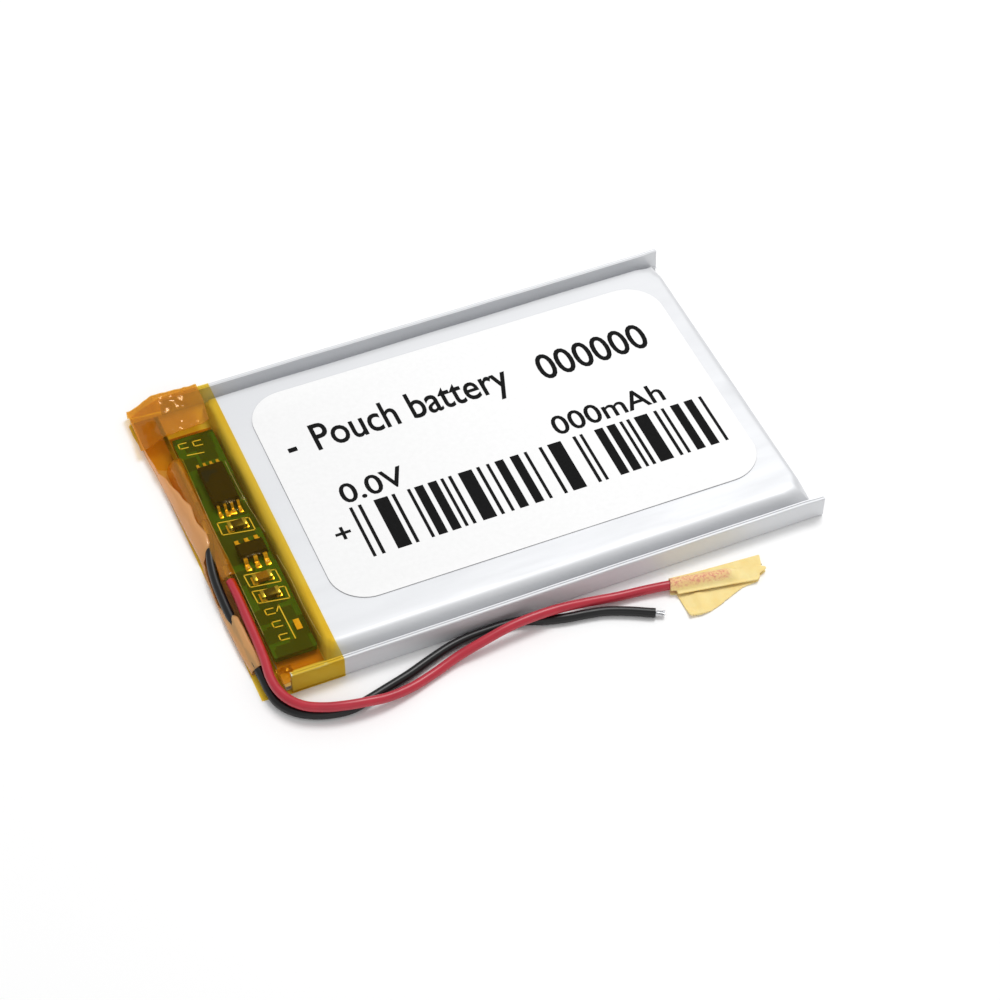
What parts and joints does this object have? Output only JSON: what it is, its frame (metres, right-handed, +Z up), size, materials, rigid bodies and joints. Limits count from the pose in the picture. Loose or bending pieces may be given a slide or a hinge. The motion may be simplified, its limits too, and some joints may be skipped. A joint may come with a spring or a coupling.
{
  "type": "lipo battery pack",
  "caption": "Thin single-cell lithium polymer pouch pack with a taped protection board at its head and two free wire leads, one ending in a tape flag.",
  "frame": {"origin": "middle of the pack's footprint, on the surface that it lies on", "axes": "+X from the taped head to the folded far end, +Y from the leads' side to the back, +Z up through the label"},
  "size_m": [0.05, 0.0388, 0.0023],
  "materials": {
    "laminate": "satin",
    "anode": "graphite coating on copper foil",
    "cathode": "oxide coating on aluminium foil",
    "separator": "matte",
    "winding_tape": "matte",
    "aluminium_tab": "satin",
    "nickel": "satin",
    "sealant": "matte",
    "label": "matte",
    "polyimide": "glossy",
    "doubled_polyimide": "glossy",
    "solder_mask": "glossy",
    "chip_moulding": "matte",
    "ceramic": "matte",
    "gold": "satin",
    "solder": "bright",
    "tinned_copper": "bright",
    "red_insulation": "satin",
    "black_insulation": "satin",
    "masking_tape": "creped, matte"
  },
  "bodies": {
    "pack": {"pouch_laminate": "laminate", "anode_strip": "anode", "cathode_strip": "cathode", "separator_inner": "separator", "separator_outer": "separator", "winding_end_tape": "winding_tape", "positive_tab": "aluminium_tab", "negative_tab": "nickel", "positive_tab_sealant": "sealant", "negative_tab_sealant": "sealant", "positive_nickel_link": "nickel", "negative_nickel_link": "nickel", "cell_label": "label", "pcb_underlay_tape": "doubled_polyimide", "circuit_board": "solder_mask", "board_test_pad": "gold", "mosfet_body": "chip_moulding", "mosfet_leadframe": "gold", "controller_body": "chip_moulding", "controller_leadframe": "gold", "series_resistor": "ceramic", "filter_capacitor": "ceramic", "sense_resistor": "ceramic", "head_wrap_tape": "polyimide", "corner_tape_patch": "doubled_polyimide", "red_lead_solder": "solder", "black_lead_solder": "solder", "red_lead_conductor": "tinned_copper", "black_lead_conductor": "tinned_copper", "red_lead_insulation": "red_insulation", "black_lead_insulation": "black_insulation"},
    "tape_flag": {"end_flag_tape": "masking_tape"}
  },
  "joints": [
    {"name": "flag_pull", "type": "slide", "parent": "pack", "child": "tape_flag", "axis": [0.9848, -0.1736, 0], "range_m": [0, 0.006]}
  ]
}
